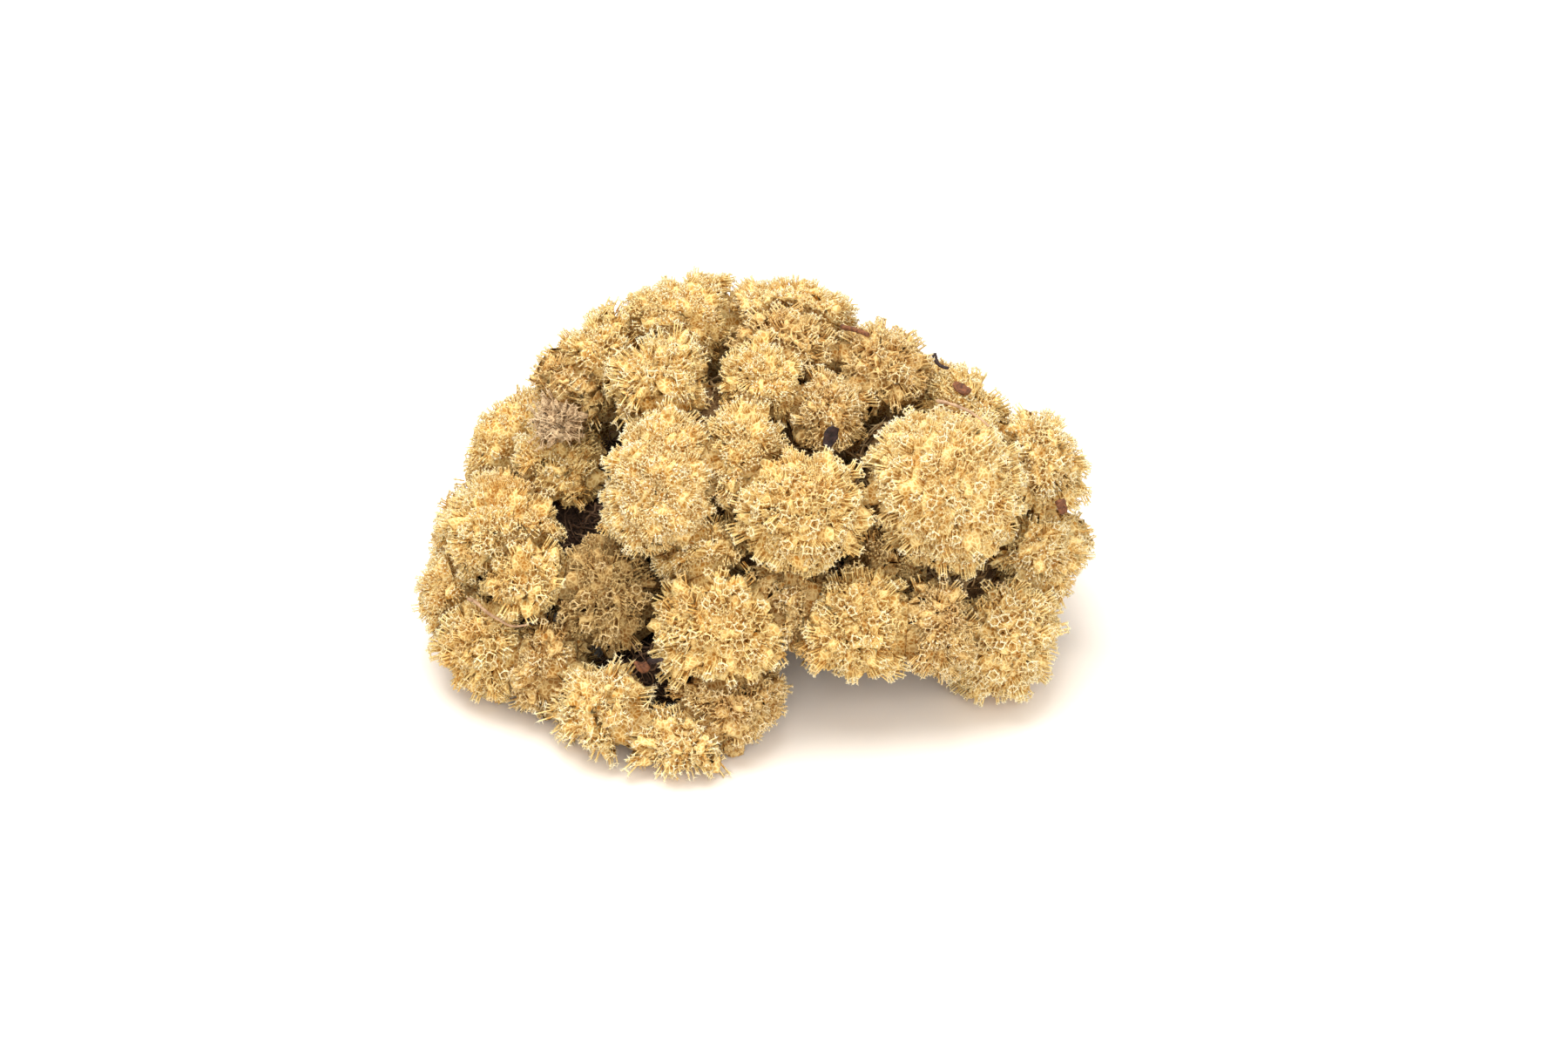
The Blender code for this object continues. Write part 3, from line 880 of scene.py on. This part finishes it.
@dataclass
class StalkMat:
    """A tangle of old stalks that fills one of the frame's mats."""

    node: str
    tone: Tone
    seed: int
    stalks_per_area: float = 0.32       # for each square millimetre of skin
    length: float = 13.0
    radius: float = 0.42
    bends: int = 6                      # points along a stalk
    forks: tuple[int, ...] = (2, 3, 4)  # the points that a side branch leaves from
    core_depth: float = 2.2             # how far the core is drawn in from the skin
    stalk_depth: float = 1.1            # how far under the skin the stalks lie
    lowest: float = 0.6                 # the lowest that a stalk's middle line comes

    def build(self, around: Surroundings) -> bpy.types.Object:
        """Fills the mat, and shows it in place of its solid.

        Args:
            around: the solids that press on it.

        Returns:
            The piece.
        """
        solid, rng = Node(self.node), np.random.default_rng(5000 + self.seed)
        strands = Strands()
        points, slopes, faces = solid.fine_skin(2)
        lump = np.array([noise.noise(Vector(point * 0.4)) for point in points])
        inner = points - slopes * (self.core_depth + 1.2 * lump[:, None])
        strands.add_solid(inner, faces, np.full(len(points), 0.05), 0.5 + 0.5 * lump)
        places, ways = solid.scatter(1.0 / math.sqrt(self.stalks_per_area), rng)
        sky = around.sky(places, ways)
        stay = rng.random(len(places)) < np.clip(sky * 6, 0, 1)
        self.add_stalks(strands, places[stay], ways[stay], rng)
        material = self.tone.value.material()
        return show(f"{self.node}_tangle", strands.mesh(self.node), material, self.node)

    def add_stalks(self, strands: Strands, places: np.ndarray, ways: np.ndarray,
                   rng: np.random.Generator) -> None:
        """Adds bent stalks that lie along the mat's skin, each with forks.

        Args:
            strands: where the stalks go.
            places: a point on the skin for each stalk.
            ways: the way that the skin faces there.
            rng: where the chance comes from.
        """
        many = len(places)
        first, second = crosswise(ways)
        angle = rng.uniform(0, math.tau, (many, 1))
        along = np.cos(angle) * first + np.sin(angle) * second
        along = unit(along + ways * rng.normal(0, 0.45, (many, 1)))
        bend = rng.normal(0, 0.25, (many, 3)) - ways * 0.12
        size = self.length * rng.uniform(0.45, 1.2, (many, 1))
        steps = np.linspace(-0.5, 0.5, self.bends)
        line = [places - ways * self.stalk_depth + along * size * step + bend * size * step * step * 2 +
                rng.normal(0, 0.3, (many, 3)) for step in steps]
        line = np.stack(line, axis=1)
        line[..., 2] = np.maximum(line[..., 2], self.lowest)
        radius = self.radius * rng.uniform(0.6, 1.2, (many, 1)) * np.linspace(1.0, 0.45, self.bends)
        depth = rng.uniform(0.15, 1.0, (many, 1)) * np.ones(self.bends)
        tint = rng.random(many)
        strands.add(line, radius, depth, tint, pointed=False)
        for joint in self.forks:
            start = line[:, joint]
            way = unit(line[:, joint] - line[:, joint - 1] + rng.normal(0, 0.5, (many, 3)))
            end = start + way * rng.uniform(1.2, 3.0, (many, 1))
            taper = radius[:, joint:joint + 1] * np.array([0.8, 0.0])
            strands.add(np.stack([start, end], axis=1), taper, depth[:, :2] + 0.1, tint, pointed=True)


@dataclass(frozen=True)
class BarkFinish:
    """Weathered bark or bare stalk: two colours in a warped, blotchy noise, and a bump."""

    name: str
    dark: Colour
    light: Colour
    scale: float = 900.0
    roughness: float = 0.82
    bump: float = 0.8                   # how strong the bump is
    bump_height: float = 0.0003         # in metres

    def material(self) -> bpy.types.Material:
        """The material, made once.

        Returns:
            The material with this finish's name.
        """
        made = bpy.data.materials.get(self.name)
        if made:
            return made
        made = bpy.data.materials.new(self.name)
        made.use_nodes = True
        tree = made.node_tree
        shader = tree.nodes["Principled BSDF"]
        where = tree.nodes.new("ShaderNodeTexCoord")
        grain = tree.nodes.new("ShaderNodeTexNoise")
        grain.inputs["Scale"].default_value = self.scale
        grain.inputs["Detail"].default_value = 6.0
        grain.inputs["Distortion"].default_value = 0.8
        tree.links.new(where.outputs["Object"], grain.inputs["Vector"])
        ramp = LichenFinish.ramp(tree, [(0.34, self.dark), (0.66, self.light)])
        tree.links.new(grain.outputs["Fac"], ramp.inputs["Fac"])
        tree.links.new(ramp.outputs["Color"], shader.inputs["Base Color"])
        bump = tree.nodes.new("ShaderNodeBump")
        bump.inputs["Strength"].default_value = self.bump
        bump.inputs["Distance"].default_value = self.bump_height
        tree.links.new(grain.outputs["Fac"], bump.inputs["Height"])
        tree.links.new(bump.outputs["Normal"], shader.inputs["Normal"])
        shader.inputs["Roughness"].default_value = self.roughness
        return made


class Bark(Enum):
    """The finishes of what the clump has picked up."""

    DARK = BarkFinish("dark_twig_bark", (0.012, 0.006, 0.006), (0.06, 0.03, 0.026))
    RUST = BarkFinish("rusty_bark", (0.07, 0.022, 0.008), (0.24, 0.085, 0.03))
    PALE = BarkFinish("bare_stalk", (0.26, 0.14, 0.07), (0.56, 0.36, 0.21), scale=500.0)


@dataclass
class CaughtBit:
    """A twig, stalk or scale of bark: its solid, made finer, ragged and ridged."""

    node: str
    finish: Bark
    slot: str
    ridge: float = 0.12       # how deep the fine ridges are, in millimetres
    ragged: float = 0.25      # how uneven the outline is

    def build(self) -> bpy.types.Object:
        """Roughens the solid's mesh, and shows it in the solid's place.

        Returns:
            The piece.
        """
        work = bmesh.new()
        work.from_mesh(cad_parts[self.node].data)
        bmesh.ops.remove_doubles(work, verts=work.verts, dist=1e-6)
        bmesh.ops.subdivide_edges(work, edges=work.edges[:], cuts=2, use_grid_fill=True)
        work.normal_update()
        moves = []
        for vert in work.verts:
            place = vert.co / MM
            coarse = noise.noise(place * 0.55)
            fine = noise.noise(place * 2.6 + Vector((7.0, 3.0, 1.0)))
            moves.append(vert.normal * (coarse * self.ragged * 0.4 + fine * self.ridge) * MM)
        for vert, move in zip(work.verts, moves):
            vert.co += move
        bmesh.ops.triangulate(work, faces=work.faces[:])
        mesh = bpy.data.meshes.new(self.node)
        work.to_mesh(mesh)
        work.free()
        mesh.materials.clear()
        mesh.shade_smooth()
        return show(f"{self.node}_weathered", mesh, self.finish.value.material(), self.node)


@dataclass
class Studio:
    """The pale floor, the soft light and the camera."""

    target: Vector = field(default_factory=lambda: Vector((0.00796, -0.00195, 0.038)))
    elevation: float = math.radians(35)
    distance: float = 0.825
    lens: float = 75.0
    floor_size: float = 6.0
    floor_colour: Colour = (0.94, 0.88, 0.80)
    floor_roughness: float = 0.9
    sky_strength: float = 0.68
    light_bounces: int = 8

    def build(self) -> None:
        """Sets out the floor, the lights and the camera."""
        self.add_floor()
        self.add_sky()
        self.add_light("key_panel", (-0.14, 0.04, 0.85), 0.7, 8.4)
        self.add_light("front_panel", (0.22, -0.92, 0.62), 0.9, 7.8)
        self.add_camera()

    def add_floor(self) -> None:
        """Adds a plain, nearly white floor."""
        bpy.ops.mesh.primitive_plane_add(size=self.floor_size)
        floor = bpy.context.object
        floor.name = "floor"
        finish = bpy.data.materials.new("white_paper")
        finish.use_nodes = True
        shader = finish.node_tree.nodes["Principled BSDF"]
        shader.inputs["Base Color"].default_value = (*self.floor_colour, 1)
        shader.inputs["Roughness"].default_value = self.floor_roughness
        floor.data.materials.append(finish)

    def add_sky(self) -> None:
        """Adds even white light from all round."""
        world = bpy.data.worlds.new("soft_box")
        world.use_nodes = True
        back = world.node_tree.nodes["Background"]
        back.inputs["Color"].default_value = (1, 1, 1, 1)
        back.inputs["Strength"].default_value = self.sky_strength
        bpy.context.scene.world = world
        bpy.context.scene.view_settings.view_transform = "Standard"
        bpy.context.scene.cycles.diffuse_bounces = self.light_bounces

    def add_light(self, name: str, place: tuple[float, float, float], size: float, power: float) -> None:
        """Adds a square panel of light that faces the clump.

        Args:
            name: the light's name.
            place: where it is, in metres.
            size: its side, in metres.
            power: its power, in watts.
        """
        lamp = bpy.data.lights.new(name, "AREA")
        lamp.size = size
        lamp.energy = power
        thing = bpy.data.objects.new(name, lamp)
        thing.location = place
        thing.rotation_euler = (self.target - Vector(place)).to_track_quat("-Z", "Y").to_euler()
        bpy.context.scene.collection.objects.link(thing)

    def add_camera(self) -> None:
        """Adds the camera, in front of the clump and above it."""
        lens = bpy.data.cameras.new("camera")
        lens.lens = self.lens
        lens.clip_start = 0.01
        camera = bpy.data.objects.new("camera", lens)
        back = Vector((0, -math.cos(self.elevation), math.sin(self.elevation)))
        camera.location = self.target + back * self.distance
        camera.rotation_euler = back.to_track_quat("Z", "Y").to_euler()
        bpy.context.scene.collection.objects.link(camera)
        bpy.context.scene.camera = camera


@dataclass
class MossClump:
    """The whole clump: its heads, its mats of stalks and what is caught in it."""

    heads: tuple[tuple[str, Tone, Growth], ...] = (
        ("crown_head_1", Tone.STRAW, Growth.FURRY), ("crown_head_2", Tone.CREAM, Growth.FURRY),
        ("crown_head_3", Tone.STRAW, Growth.PLAIN), ("crown_head_4", Tone.TAN, Growth.SPONGY),
        ("brow_head_1", Tone.TAN, Growth.WIRY), ("brow_head_2", Tone.STRAW, Growth.WIRY),
        ("brow_head_3", Tone.STRAW, Growth.FURRY), ("brow_head_4", Tone.TAN, Growth.PLAIN),
        ("brow_head_5", Tone.TAN, Growth.SPONGY), ("brow_head_6", Tone.STRAW, Growth.PLAIN),
        ("middle_head_1", Tone.CREAM, Growth.FURRY), ("middle_head_2", Tone.STRAW, Growth.FURRY),
        ("middle_head_3", Tone.STRAW, Growth.SPONGY), ("middle_head_4", Tone.CREAM, Growth.SPONGY),
        ("middle_head_5", Tone.TAN, Growth.PLAIN), ("middle_head_6", Tone.STRAW, Growth.FURRY),
        ("right_head_1", Tone.CREAM, Growth.PLAIN), ("right_head_2", Tone.CREAM, Growth.PLAIN),
        ("right_head_3", Tone.CREAM, Growth.SPONGY), ("right_head_4", Tone.CREAM, Growth.PLAIN),
        ("left_head_1", Tone.STRAW, Growth.PLAIN), ("left_head_2", Tone.STRAW, Growth.PLAIN),
        ("left_head_3", Tone.STRAW, Growth.SPONGY), ("left_head_4", Tone.CREAM, Growth.FURRY),
        ("left_head_5", Tone.STRAW, Growth.SPONGY), ("left_head_6", Tone.BUFF, Growth.SPONGY),
        ("left_head_7", Tone.TAN, Growth.PLAIN),
        ("foot_head_1", Tone.CREAM, Growth.WIRY), ("foot_head_2", Tone.CREAM, Growth.WIRY),
        ("foot_head_3", Tone.TAN, Growth.PLAIN),
        ("low_head_1", Tone.STRAW, Growth.SPONGY), ("low_head_2", Tone.STRAW, Growth.SPONGY),
        ("low_head_3", Tone.TAN, Growth.PLAIN), ("low_head_4", Tone.TAN, Growth.PLAIN),
        ("dead_tuft", Tone.GREY, Growth.WIRY),
    )
    back_tones: tuple[Tone, ...] = (Tone.STRAW, Tone.TAN, Tone.CREAM)
    back_heads: int = 11
    mats: tuple[tuple[str, Tone], ...] = (("stalk_mat_left", Tone.DEAD), ("stalk_mat_middle", Tone.OLD),
                                          ("stalk_mat_right", Tone.OLD), ("stalk_mat_foot", Tone.DEAD))
    bits: tuple[CaughtBit, ...] = (
        CaughtBit("foot_twig", Bark.DARK, "dark_twig"),
        CaughtBit("ridge_twig", Bark.DARK, "dark_twig"),
        CaughtBit("cavity_flake", Bark.DARK, "dark_twig", ragged=1.8),
        CaughtBit("bark_strip", Bark.RUST, "rust_bark"),
        CaughtBit("foot_flake", Bark.RUST, "rust_bark", ragged=1.3),
        CaughtBit("brow_flake", Bark.RUST, "rust_bark", ragged=1.3),
        CaughtBit("right_flake", Bark.RUST, "rust_bark", ragged=1.3),
        CaughtBit("top_stalk", Bark.PALE, "pale_stalk"),
        CaughtBit("side_stalk", Bark.PALE, "pale_stalk"),
    )

    def build(self) -> list[bpy.types.Object]:
        """Builds every piece of the clump.

        Returns:
            The pieces.
        """
        heads = []
        for i, (node, tone, growth) in enumerate(self.heads):
            slot = "dead_stalks" if tone is Tone.GREY else "pale_lichen"
            heads.append(LichenHead(node, tone, growth, slot, seed=i))
        for i in range(self.back_heads):
            tone = self.back_tones[i % len(self.back_tones)]
            heads.append(LichenHead(f"back_head_{i + 1}", tone, Growth.DENSE, seed=100 + i, core_cuts=3))
        around = Surroundings([head.solid for head in heads] + [Node(mat) for mat, _ in self.mats])
        pieces = [head.build(around) for head in heads]
        pieces += [StalkMat(mat, tone, i).build(around) for i, (mat, tone) in enumerate(self.mats)]
        return pieces + [bit.build() for bit in self.bits]


def main() -> None:
    """Builds the clump and its setting, and notes how many triangles the clump's pieces have."""
    logging.basicConfig(level=logging.INFO, format="%(name)s %(message)s")
    Studio().build()
    pieces = MossClump().build()
    LOG.info("%d triangles in %d pieces", sum(len(piece.data.polygons) for piece in pieces), len(pieces))


if __name__ == "__main__":
    main()
